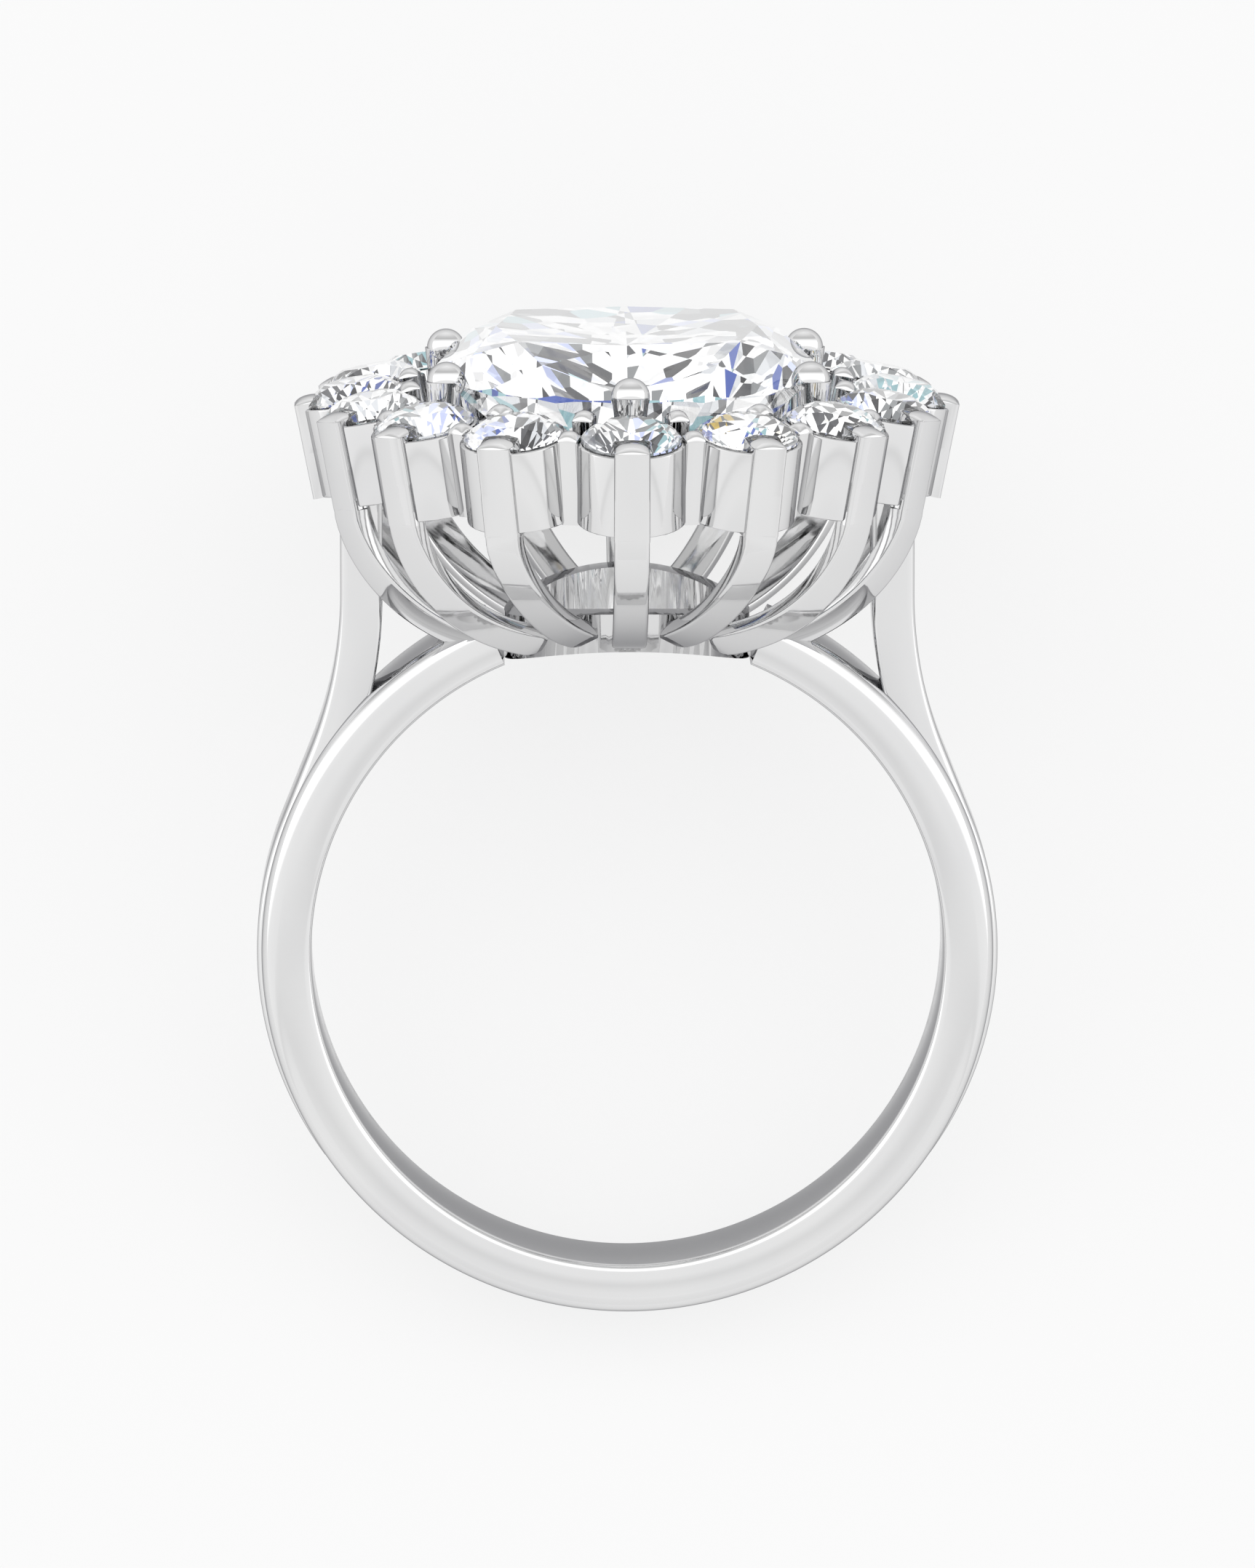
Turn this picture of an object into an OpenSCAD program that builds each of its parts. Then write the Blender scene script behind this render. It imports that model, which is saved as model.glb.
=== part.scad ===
// Halo engagement ring: an oval cluster head on a plain band with cathedral shoulders.
// It is drawn upright and centred on the finger hole: X across the finger, Y along the finger, Z up
// to the head. The finished ring is then laid on its side, where it rests on the rearmost prong of its
// head and on the edge of its band. The origin is on the surface, under the middle of its box.

/* [Band] */
// Radius of the finger hole
finger_r = 8.25; // [8.2:0.05:8.3]
// Thickness of the band from the finger hole outwards
band_thick = 1.3; // [1.25:0.05:1.35]
// Width of the band along the finger
band_w = 3.4; // [3.3:0.05:3.5]
// Radius of the edges round the finger hole
band_inner_round = 0.2; // [0.1:0.05:0.3]
// Radius of the outer edges of the band
band_outer_round = 0.45; // [0.3:0.05:0.5]

/* [Cathedral arms] */
// Width of an arm along the finger
arm_w = 2.4; // [2.3:0.05:2.5]
// Thickness of an arm
arm_thick = 1.1; // [1:0.05:1.15]
// Distance of the outer face of the upright stretch from the middle of the ring
arm_x = 7.47; // [7.4:0.01:7.5]
// Radius of the outer face where the arm grows out of the side of the band
side_r = 9.2; // [9.1:0.05:9.3]
// Furthest point of the outer face of that stretch from the middle of the ring
side_x = 9.67; // [9.65:0.01:9.7]
// Angle below the equator at which an arm begins
side_start = 36; // [34:1:38]
// Angle at which the arm leans in where it leaves the band
arm_lean = 21.8; // [21:0.1:22.5]
// Radius of the hollow bend that turns an arm upright
shoulder_r = 11; // [10:0.5:12]

/* [Base ring of the head] */
// Half width of the oval base ring across the finger
base_x = 3.2; // [3.15:0.05:3.25]
// Half width of the oval base ring along the finger
base_y = 3.8; // [3.75:0.05:3.85]
// Radius, about the axis of the finger hole, of the arched top of the base ring
base_top = 9.5; // [9.4:0.05:9.6]
// Wall of the base ring
base_wall = 0.75; // [0.7:0.05:0.85]

/* [Halo stones] */
// Half width of the oval through the middles of the halo stones, across the finger
halo_x = 7.09; // [7.05:0.01:7.15]
// Half width of the same oval along the finger
halo_y = 8.87; // [8.8:0.01:8.95]
// Height of the girdles of the halo stones above the middle of the finger hole
halo_z = 14.47; // [14.4:0.01:14.55]
// Angle at which each halo stone is tilted outwards
halo_tilt = 11.3; // [10.5:0.1:12]
// Diameter of a halo stone
halo_d = 2.6; // [2.5:0.05:2.65]
// Height of the crown of a halo stone above its girdle
halo_crown = 0.42; // [0.38:0.01:0.45]
// Depth of a halo stone below its girdle
halo_pavilion = 1.1; // [1:0.05:1.15]

/* [Gallery] */
// Outer diameter of the cup under a halo stone
cup_d = 2.8; // [2.75:0.05:2.85]
// Depth of a cup below the girdle of its stone
cup_depth = 2.2; // [2.1:0.05:2.3]
// Depth of the two side cups, which sit on the arms
seat_depth = 2.4; // [2.35:0.05:2.5]
// Diameter of the hole through the bottom of a cup
cup_hole_d = 1.3; // [1.1:0.1:1.5]
// Height and width of the rail that joins the cups on their inner side
rail_size = 0.8; // [0.7:0.05:0.9]
// Height of the middle of the rail above the middle of the finger hole
rail_z = 12.85; // [12.75:0.05:12.95]

/* [Prongs and ribs] */
// Width of a long prong and of the rib below it
prong_w = 0.88; // [0.84:0.01:0.92]
// Thickness of a long prong and of the rib below it
prong_t = 0.82; // [0.78:0.01:0.88]
// Distance of a long prong outwards from the axis of its stone
prong_reach = 1.163; // [1.14:0.005:1.18]
// Width of a short prong between two stones
short_w = 0.55; // [0.5:0.01:0.6]
// Distance of a short prong outwards from the oval of the halo stones
short_reach = 0.12; // [0.05:0.01:0.2]
// Distance of an inner prong inwards from the oval of the halo stones
inner_reach = 1.38; // [1.3:0.01:1.45]
// Depth below the girdle at which a long prong passes into its rib
seam_depth = 2.36; // [2.3:0.01:2.4]
// Lean of a rib where it begins under its prong
rib_lean = 16; // [14:0.5:18]
// Slope above level with which a rib runs in to the base ring
rib_slope = 23.6; // [22:0.2:25]

/* [Centre stone] */
// Half width of the centre stone across the finger
centre_x = 5; // [4.95:0.01:5.05]
// Half length of the centre stone along the finger
centre_y = 6.6; // [6.55:0.01:6.65]
// Height of its girdle above the middle of the finger hole
centre_z = 15.15; // [15.1:0.01:15.2]
// Height of its crown above the girdle
centre_crown = 1.05; // [1:0.05:1.1]
// Depth of its pavilion below the girdle
centre_pavilion = 4.25; // [4.1:0.05:4.35]
// Half width of its table across the finger
table_x = 3.4; // [3.3:0.05:3.5]
// Half length of its table along the finger
table_y = 4.15; // [4:0.05:4.25]

/* [Claws] */
// Diameter of the bead of a claw
claw_d = 1; // [0.95:0.01:1.05]
// Height of the bead's middle above the middle of the finger hole
claw_z = 15.3; // [15.25:0.01:15.4]
// Diameter of a claw's stem
claw_stem_d = 0.8; // [0.75:0.01:0.85]

/* [Fit] */
// Gap between neighbouring pieces
gap = 0.04; // [0.03:0.005:0.05]

/* [Resting pose] */
// Shift along the surface that brings the middle of the ring's box to the origin
lie_shift = -3.99; // [-4.05:0.01:-3.9]

/* [Hidden] */
halo_count = 16;
side_stones = [4, 12];
metal = "silver";
diamond = "azure";

function two_digits(n) = n < 10 ? str("0", n) : str(n);
function halo_name(k) = str("halo_stone_", two_digits(k + 1));

big = 40;
arc_sides = 96;
prong_round_sides = 10;

// The arms: a side arc, a straight stretch along its tangent, a hollow bend and an upright stretch.
side_middle = side_x - side_r;
straight_foot = [side_middle + side_r * cos(arm_lean), side_r * sin(arm_lean)];
corner_run = (straight_foot.x - arm_x) / sin(arm_lean);
bend_tangent = shoulder_r * tan(arm_lean / 2);
shoulder_z = straight_foot.y + corner_run * cos(arm_lean) + bend_tangent;
side_steps = 24;
shoulder_steps = 8;

// The band's ends are cut to the circle that follows the sides of the base ring.
base_side_r = base_y * base_y / base_x;
base_bottom = 7;

// Equal steps along the oval of the halo stones, counted from the front.
arc_steps = 240;
function on_halo(t) = [halo_x * sin(t), -halo_y * cos(t)];
function arc_piece(i) = norm(on_halo((i + 1) * 360 / arc_steps) - on_halo(i * 360 / arc_steps));
halo_arc = [for (i = 0, s = 0; i <= arc_steps; s = s + arc_piece(i), i = i + 1) [s, i * 360 / arc_steps]];
halo_len = halo_arc[arc_steps][0];
function halo_t(k) = lookup((k + halo_count) % halo_count * halo_len / halo_count, halo_arc);
function halo_point(k) = on_halo(halo_t(k));
function halo_turn(k) = atan2(-cos(halo_t(k)) / halo_y, sin(halo_t(k)) / halo_x);

// The ribs: where one leaves its prong, where it meets the base ring and the bend between.
rib_steps = 7;
rib_top_reach = 1.8;
rib_foot_share = 0.806;
rib_foot_rise = 0.45;
rib_chamfer = 0.1;
rib_round = 0.16;
rib_foot_t = 0.45;
// A rib is a little narrower than its prong, which leaves a fine step where they meet.
rib_w = prong_w - 0.03;
// Ribs that run in behind the band are trimmed this far outside the base ring.
rib_stub = 0.03;
rib_top_out = prong_reach * cos(halo_tilt) - seam_depth * sin(halo_tilt);
rib_top_z = halo_z - prong_reach * sin(halo_tilt) - seam_depth * cos(halo_tilt);
function rib_top(k) = halo_point(k) + rib_top_out * [cos(halo_turn(k)), sin(halo_turn(k))];
function oval_radius(a, b, v) = 1 / norm([v.x / norm(v) / a, v.y / norm(v) / b]);

function bezier(p, t) =
    pow(1 - t, 3) * p[0] + 3 * pow(1 - t, 2) * t * p[1] + 3 * (1 - t) * t * t * p[2] + pow(t, 3) * p[3];
function bezier_slope(p, t) =
    (1 - t) * (1 - t) * (p[1] - p[0]) + 2 * (1 - t) * t * (p[2] - p[1]) + t * t * (p[3] - p[2]);

// The centre claws: two on the long axis and four at the corners.
claw_table = [[0, 6.85], [4.7, 3.5], [4.7, -3.5], [0, -6.85], [-4.7, -3.5], [-4.7, 3.5]];
// Gaps between halo stones where a corner claw stands instead of an inner prong.
claw_gaps = [2, 5, 10, 13];
claw_spread = 1.015;
rail_x = halo_x - 1.75;
rail_y = halo_y - 1.75;

// Lying down, the ring touches the surface with the lower end of its rearmost long prong and with
// the rounded edge of its band. Each is given as [along the finger, height] in the upright ring.
prong_end = prong_reach + prong_t / 2;
prong_lap = 0.1;
prong_low = seam_depth + prong_lap;
head_touch = [
    halo_y + prong_end * cos(halo_tilt) - prong_low * sin(halo_tilt),
    halo_z - prong_end * sin(halo_tilt) - prong_low * cos(halo_tilt)
];
edge_middle = [band_w / 2 - band_outer_round, -(finger_r + band_thick - band_outer_round)];
touch_run = head_touch - edge_middle;
lie_tilt = atan2(touch_run.y, touch_run.x) + asin(band_outer_round / norm(touch_run));
lie_height = edge_middle.x * sin(lie_tilt) - edge_middle.y * cos(lie_tilt) + band_outer_round;

// Shapes shared by the brilliants.
mains = 8;
main_step = 360 / mains;
star_height = 0.62;
lower_reach = 0.8;
centre_girdle = 0.2;
centre_cuts = 4;
halo_girdle = 0.08;
halo_cuts = 2;

module laid() {
    translate([0, lie_shift, lie_height])
        rotate([-lie_tilt, 0, 0]) children();
}

// The frame of halo stone k: X outwards, Z along the axis of the stone, origin at its girdle.
module at_halo(k) {
    translate([halo_point(k).x, halo_point(k).y, halo_z])
        rotate([0, 0, halo_turn(k)])
            rotate([0, halo_tilt, 0])
                children();
}

// A rectangle from x = 0 with four rounded corners, centred on y = 0.
module rounded_bar(thick, width, round_inner, round_outer) {
    difference() {
        translate([0, -width / 2]) square([thick, width]);
        for (side = [-1, 1]) {
            translate([0, side * width / 2]) square(2 * round_inner, center = true);
            translate([thick, side * width / 2]) square(2 * round_outer, center = true);
        }
    }
    for (side = [-1, 1]) {
        translate([round_inner, side * (width / 2 - round_inner)]) circle(round_inner, $fn = 48);
        translate([thick - round_outer, side * (width / 2 - round_outer)]) circle(round_outer, $fn = 48);
    }
}

module band_section() {
    translate([finger_r, 0]) rounded_bar(band_thick, band_w, band_inner_round, band_outer_round);
}

module band() {
    difference() {
        rotate([90, 0, 0]) rotate_extrude($fn = arc_sides) band_section();
        base_clearance();
    }
}

// The room that the base ring takes between the two ends of the band.
module base_clearance() {
    intersection_for (side = [-1, 1])
        translate([side * (base_x - base_side_r), 0, finger_r / 2])
            cylinder(r = base_side_r + rib_stub + gap, h = finger_r, $fn = arc_sides);
}

function arc_points(middle, radius, from, to, count) = [
    for (i = [0:count])
        let (a = from + (to - from) * i / count)
        middle + radius * [cos(a), sin(a)]
];

// The outline of the right arm, with the finger hole seen as a circle.
module arm_outline() {
    side = [side_middle, 0];
    shoulder = [arm_x + shoulder_r, shoulder_z];
    polygon(concat(
        arc_points(side, side_r, -side_start, arm_lean, side_steps),
        arc_points(shoulder, shoulder_r, 180 + arm_lean, 180, shoulder_steps),
        [[arm_x, halo_z], [arm_x - arm_thick, halo_z]],
        arc_points(shoulder, shoulder_r + arm_thick, 180, 180 + arm_lean, shoulder_steps),
        arc_points(side, side_r - arm_thick, arm_lean, -side_start, side_steps)
    ));
}

module arm() {
    rotate([90, 0, 0])
        linear_extrude(height = arm_w, center = true) arm_outline();
}

module shank() {
    color(metal)
        difference() {
            union() {
                band();
                arm();
                mirror([1, 0, 0]) arm();
            }
            for (k = side_stones)
                at_halo(k)
                    translate([-big / 4, -big / 4, -seat_depth - gap])
                        cube([big / 2, big / 2, big / 2]);
        }
}

// A closed skin over a row of rings, each running anticlockwise about the way along the row.
module skin(rings) {
    count = len(rings);
    sides = len(rings[0]);
    points = [for (ring = rings) for (p = ring) p];
    walls = [
        for (i = [0:count - 2]) for (j = [0:sides - 1])
            [(i + 1) * sides + j, (i + 1) * sides + (j + 1) % sides, i * sides + (j + 1) % sides, i * sides + j]
    ];
    first = [for (j = [0:sides - 1]) j];
    last = [for (j = [sides - 1:-1:0]) (count - 1) * sides + j];
    polyhedron(points = points, faces = concat(walls, [first], [last]), convexity = 6);
}

// A bar section with its corners cut off, as eight points about the middle.
function bar_points(w, t, cut) = [
    [w / 2 - cut, -t / 2], [w / 2, -t / 2 + cut], [w / 2, t / 2 - cut], [w / 2 - cut, t / 2],
    [-w / 2 + cut, t / 2], [-w / 2, t / 2 - cut], [-w / 2, -t / 2 + cut], [-w / 2 + cut, -t / 2]
];

// One rib: it starts in its prong, bends in and runs down to the wall of the base ring. Its section
// grows thinner and rounder on the way, and its outer side keeps to the bend.
module rib(k) {
    top = rib_top(k);
    out = top / norm(top);
    across = [-out.y, out.x];
    foot_r = oval_radius(base_x, base_y, out) - 0.1;
    foot_z = sqrt(pow(finger_r, 2) - pow(foot_r * out.x, 2)) + rib_foot_rise;
    start = [norm(top), rib_top_z];
    foot = [foot_r, foot_z];
    foot_reach = rib_foot_share * (start.x - foot.x);
    bend = [
        start,
        start - rib_top_reach * [sin(rib_lean), cos(rib_lean)],
        foot + foot_reach * [cos(rib_slope), sin(rib_slope)],
        foot
    ];
    skin([
        for (i = [0:rib_steps])
            let (
                middle = bezier(bend, i / rib_steps),
                slope = bezier_slope(bend, i / rib_steps),
                way = slope / norm(slope),
                side = [-way.y, way.x],
                t = prong_t + (rib_foot_t - prong_t) * i / rib_steps,
                cut = rib_chamfer + (rib_round - rib_chamfer) * i / rib_steps,
                inwards = (prong_t - t) / 2
            )
            [
                for (p = bar_points(rib_w, t, cut))
                    let (r = middle.x + (p.y + inwards) * side.x)
                    [r * out.x + p.x * across.x, r * out.y + p.x * across.y, middle.y + (p.y + inwards) * side.y]
            ]
    ]);
}

// A prong along Z with its bead at the top; its middle line is the Z axis and the girdle is at z = 0.
module prong(w, t, depth) {
    hull() {
        translate([0, 0, -depth])
            linear_extrude(height = depth)
                polygon([for (p = bar_points(w, t, rib_chamfer)) [p.y, p.x]]);
        scale([0.92 * t, 0.92 * w, w]) sphere(d = 1, $fn = prong_round_sides);
    }
}

module claw(foot) {
    hull() {
        translate([foot.x, foot.y, claw_z]) sphere(d = claw_d, $fn = 12);
        translate([foot.x * claw_spread, foot.y * claw_spread, rail_z])
            cylinder(d = claw_stem_d, h = claw_z - rail_z - claw_d / 2, $fn = 12);
    }
}

module oval_tube(a, b, wall, low, high) {
    translate([0, 0, low])
        linear_extrude(height = high - low)
            difference() {
                scale([a, b]) circle(r = 1, $fn = 40);
                scale([a - wall, b - wall]) circle(r = 1, $fn = 40);
            }
}

module base_ring() {
    intersection() {
        oval_tube(base_x, base_y, base_wall, base_bottom, base_top + 1);
        rotate([90, 0, 0])
            cylinder(r = base_top, h = big, center = true, $fn = arc_sides);
    }
}

module inner_rail() {
    half = rail_size / 2;
    oval_tube(rail_x + half, rail_y + half, rail_size, rail_z - half, rail_z + half);
}

module cup(k) {
    depth = search(k, side_stones) == [] ? cup_depth : seat_depth;
    at_halo(k)
        translate([0, 0, -depth])
            cylinder(d = cup_d, h = depth - 0.15, $fn = 16);
}

// The room for a halo stone with the gap all round, and the hole below it.
module halo_seat() {
    seat_r = (halo_d / 2 + 2 * gap) / cos(180 / 16);
    table_r = 0.4 * halo_d + gap;
    rotate_extrude($fn = 16)
        polygon([
            [0, halo_crown + gap], [table_r, halo_crown + gap],
            [seat_r, -gap], [0, -halo_pavilion - 3 * gap]
        ]);
    translate([0, 0, -seat_depth - 1])
        cylinder(d = cup_hole_d, h = seat_depth, $fn = 8);
}

module setting() {
    color(metal)
        difference() {
            union() {
                base_ring();
                inner_rail();
                for (k = [0:halo_count - 1]) {
                    side_one = search(k, side_stones) != [];
                    cup(k);
                    at_halo(k)
                        translate([prong_reach, 0, 0])
                            prong(prong_w, prong_t, side_one ? seat_depth : prong_low);
                    if (!side_one) rib(k);
                    at_halo(k + 0.5)
                        translate([short_reach, 0, 0]) prong(short_w, short_w, cup_depth);
                    if (search(k, claw_gaps) == [])
                        at_halo(k + 0.5)
                            translate([-inner_reach, 0, 0.05]) prong(short_w, short_w, cup_depth - 0.6);
                }
                for (foot = claw_table) claw(foot);
            }
            rotate([90, 0, 0])
                cylinder(r = (finger_r + gap / 2) / cos(180 / arc_sides), h = big, center = true, $fn = arc_sides);
            band_room();
            for (k = [0:halo_count - 1]) at_halo(k) halo_seat();
            translate([0, 0, centre_z]) centre_brilliant(gap);
        }
}

// The room that the two ends of the band take beside the base ring.
module band_room() {
    difference() {
        rotate([90, 0, 0])
            cylinder(
                r = (finger_r + band_thick + gap) / cos(180 / arc_sides),
                h = band_w + 2 * gap, center = true, $fn = arc_sides
            );
        translate([0, 0, -big / 2])
            linear_extrude(height = big)
                scale([base_x + rib_stub, base_y + rib_stub]) circle(r = 1, $fn = 40);
    }
}

function sign_power(v, power) = sign(v) * pow(abs(v), power);
function cross_2d(u, v) = u.x * v.y - u.y * v.x;
function flat(p) = [p.x, p.y];

// Where the lines n1 . q = c1 and n2 . q = c2 meet.
function meet(n1, c1, n2, c2) = [c1 * n2.y - c2 * n1.y, n1.x * c2 - n2.x * c1] / cross_2d(n1, n2);

// Height of the facet plane through inner and the two level points g and h, at plan point q.
function facet_z(inner, g, h, q) =
    let (level = g.z)
    level + (inner.z - level) * cross_2d(flat(h - g), q - flat(g)) / cross_2d(flat(h - g), flat(inner - g));

// An oval brilliant with its girdle plane at z = 0: 8 mains, 8 stars and 16 upper girdle facets above,
// 8 mains and 16 lower girdle facets below.
module brilliant(a, b, table, power, crown, girdle, pavilion, arc_cuts) {
    per_main = 2 * arc_cuts;
    count = mains * per_main;
    half = girdle / 2;
    outline = [for (j = [0:count - 1]) [a * cos(j * 360 / count), b * sin(j * 360 / count)]];
    normals = [
        for (i = [0:mains - 1])
            let (n = [cos(i * main_step) / a, sin(i * main_step) / b])
            n / norm(n)
    ];
    tables = [
        for (i = [0:mains - 1])
            [
                table.x * sign_power(cos(i * main_step), power),
                table.y * sign_power(sin(i * main_step), power)
            ]
    ];
    rims = [for (i = [0:mains - 1]) outline[i * per_main]];
    function trace(i, share) = normals[i] * (rims[i] + share * (tables[i] - rims[i]));
    function depth_trace(i, share) = normals[i] * rims[i] * (1 - share);
    stars = [
        for (i = [0:mains - 1])
            let (
                next = (i + 1) % mains,
                q = meet(normals[i], trace(i, star_height), normals[next], trace(next, star_height))
            )
            [q.x, q.y, half + star_height * crown]
    ];
    lowers = [
        for (i = [0:mains - 1])
            let (
                next = (i + 1) % mains,
                q = meet(normals[i], depth_trace(i, lower_reach), normals[next], depth_trace(next, lower_reach))
            )
            [q.x, q.y, -half - lower_reach * pavilion]
    ];
    function at(j, z) = [outline[j % count].x, outline[j % count].y, z];
    function edge_z(j, inner, level) =
        let (
            first = floor(j / arc_cuts) * arc_cuts
        )
        facet_z(inner, at(first, level), at(first + arc_cuts, level), outline[j]);
    upper_edge = [for (j = [0:count - 1]) at(j, edge_z(j, stars[floor(j / per_main)], half))];
    lower_edge = [for (j = [0:count - 1]) at(j, edge_z(j, lowers[floor(j / per_main)], -half))];
    table_ring = [for (p = tables) [p.x, p.y, half + crown]];
    points = concat(table_ring, stars, upper_edge, lower_edge, lowers, [[0, 0, -half - pavilion]]);
    star_0 = mains;
    upper_0 = 2 * mains;
    lower_0 = upper_0 + count;
    low_0 = lower_0 + count;
    culet = low_0 + mains;
    faces = concat(
        [[for (i = [mains - 1:-1:0]) i]],
        [for (i = [0:mains - 1]) [i, (i + 1) % mains, star_0 + i]],
        [
            for (i = [0:mains - 1])
                [i, star_0 + i, upper_0 + i * per_main, star_0 + (i + mains - 1) % mains]
        ],
        [
            for (j = [0:count - 1])
                [star_0 + floor(j / per_main), upper_0 + (j + 1) % count, upper_0 + j]
        ],
        [
            for (j = [0:count - 1])
                [upper_0 + j, upper_0 + (j + 1) % count, lower_0 + (j + 1) % count, lower_0 + j]
        ],
        [
            for (j = [0:count - 1])
                [low_0 + floor(j / per_main), lower_0 + j, lower_0 + (j + 1) % count]
        ],
        [
            for (i = [0:mains - 1])
                [culet, low_0 + (i + mains - 1) % mains, lower_0 + i * per_main, low_0 + i]
        ]
    );
    polyhedron(points = points, faces = faces, convexity = 4);
}

module centre_brilliant(grow) {
    brilliant(
        centre_x + grow, centre_y + grow, [table_x + grow, table_y + grow], 0.5,
        centre_crown + grow / 2, centre_girdle + grow, centre_pavilion + grow, centre_cuts
    );
}

module centre_stone() {
    color(diamond)
        translate([0, 0, centre_z]) centre_brilliant(0);
}

module halo_stone(k) {
    radius = halo_d / 2;
    color(diamond)
        at_halo(k)
            brilliant(
                radius, radius, [0.56 * radius, 0.56 * radius], 1,
                halo_crown - halo_girdle / 2, halo_girdle, halo_pavilion - halo_girdle / 2, halo_cuts
            );
}

laid() shank();
laid() setting();
laid() centre_stone();
for (k = [0:halo_count - 1])
    laid() halo_stone(k);
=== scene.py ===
from math import atan2, cos, hypot, pi, radians, sin, sqrt

import bmesh
import bpy
from mathutils import Matrix, Vector


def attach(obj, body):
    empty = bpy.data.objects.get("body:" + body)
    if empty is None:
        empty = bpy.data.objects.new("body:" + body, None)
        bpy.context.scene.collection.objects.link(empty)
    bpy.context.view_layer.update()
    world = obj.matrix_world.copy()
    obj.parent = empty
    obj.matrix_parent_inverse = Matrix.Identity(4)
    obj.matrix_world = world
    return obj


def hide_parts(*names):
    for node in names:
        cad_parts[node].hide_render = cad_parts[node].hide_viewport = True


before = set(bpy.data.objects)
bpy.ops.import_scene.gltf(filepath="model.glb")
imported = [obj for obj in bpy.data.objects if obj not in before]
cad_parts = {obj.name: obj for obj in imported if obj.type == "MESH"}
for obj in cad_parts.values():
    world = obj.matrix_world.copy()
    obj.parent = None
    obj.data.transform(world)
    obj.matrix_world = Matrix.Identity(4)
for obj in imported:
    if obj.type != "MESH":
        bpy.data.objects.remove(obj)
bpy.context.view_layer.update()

# The ring is modelled upright in millimetres, centred on the finger hole: X across the finger,
# Y along it and Z up to the head. lay_down() then puts it where the frame lies.
LIE_TILT = radians(68.5378)
LIE_SHIFT = -3.99
LIE_HEIGHT = 4.9429
MILLIMETRE = 0.001
LAY = (
    Matrix.Scale(MILLIMETRE, 4)
    @ Matrix.Translation((0, LIE_SHIFT, LIE_HEIGHT))
    @ Matrix.Rotation(-LIE_TILT, 4, "X")
)

# The shank.
FINGER_R = 8.25
BAND_THICK = 1.3
BAND_WIDTH = 3.4
BAND_INNER_ROUND = 0.2
BAND_OUTER_ROUND = 0.45
BAND_END = radians(22.8)
BAND_STEPS = 220

ARM_WIDTH = 2.4
ARM_THICK = 1.1
ARM_INNER_ROUND = 0.12
ARM_OUTER_ROUND = 0.2
ARM_X = 7.47
ARM_LEAN = radians(21.8)
ARM_INTO_CUP = 0.3
SIDE_R = 9.2
SIDE_X = 9.67
SIDE_START = radians(36)
SIDE_STEPS = 40
SLOPE_STEPS = 4
SHOULDER_R = 11
SHOULDER_STEPS = 16

# The base ring, an oval tube between the shank and the ribs.
BASE_X = 3.2
BASE_Y = 3.8
BASE_WALL = 0.75
BASE_TOP = 9.42
BASE_LOW = 7.3
BASE_HIGH = 9.9
BASE_FLARE = 1.0
BASE_ROUND = 0.11
SOLDER_GAP = 0.02
ROD_LENGTH = 20

# The halo's oval, its cups and the rail inside them. Stones are counted round from the front.
HALO_COUNT = 16
HALO_X = 7.09
HALO_Y = 8.87
HALO_Z = 14.47
HALO_TILT = radians(11.3)
SIDE_STONES = [4, 12]
CUP_R = 1.4
CUP_DEPTH = 2.2
SIDE_CUP_DEPTH = 2.4
CUP_HOLE_R = 0.65
CUP_RIM_Z = -0.05
CUP_SEAT_R = 1.22
CUP_SEAT_Z = -0.63
CUP_ROUND = 0.06
RAIL_SIZE = 0.8
RAIL_Z = 12.85
RAIL_INSET = 1.75
RAIL_ROUND = 0.12

# Prongs: long ones outside the cups, from the front to the side, and short ones between the cups.
PRONG_W = 0.92
PRONG_T = 0.82
PRONG_ROUND = 0.09
PRONG_FRONT = [1.5, 1.5, 1.5, 1.5, 1.573]
PRONG_TURN = [radians(a) for a in (0, 22.8, 41.2, 51.8, 90)]
PRONG_TOP = 0.1
BEAD_TOP = 0.27
BEAD_SUNK = 0.03
BEAD_SQUARENESS = 0.75
LOWER_PRONG_T = 0.5
LOWER_PRONG_Z = -1.2
LOWER_PRONG_STEP = 0.1
SHORT_W = 0.55
SHORT_TOP = 0.02
SHORT_BEAD_TOP = 0.24
SHORT_BEAD_SUNK = 0.02
SHORT_REACH = 0.12
INNER_REACH = 1.38
INNER_PRONG_CUT = 0.6
INNER_PRONG_RISE = 0.05
SEAM_DEPTH = 2.22
SEAM_OVERLAP = 0.05

# Each rib from the front to the side: how far its foot stands in, the height of the foot, the
# reach and lean of the bend at the top, its reach and slope at the foot, how far it rolls towards
# the front on the way down, and the length of the straight end behind the bend.
RIBS = [
    (5.8, 8.4, 0.97, radians(-3.4), 2.91, radians(8.8), 0, 0.1),
    (5.8, 8.47, 0.97, radians(-3.4), 2.91, radians(8.8), radians(22.5), 0.1),
    (5.35, 8.19, 0.46, radians(10.3), 4.4, radians(11), radians(38.1), 0.15),
    (3.82, 8.23, 0.56, radians(2.1), 3.18, radians(22.5), radians(23.8), 1.5),
]
RIB_W = 0.9
RIB_TOP_T = 0.5
RIB_FOOT_T = 0.42
RIB_INNER_ROUND = 0.08
RIB_OUTER_ROUND = 0.1
RIB_STEPS = 24
RIB_NOSE = 0.45
NOSE_ANGLES = [radians(a) for a in (20, 38, 54, 67, 78, 86)]
NOSE_THIN = 0.6
BEND_POINTS = 400
TAIL_POINTS = 40

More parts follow.
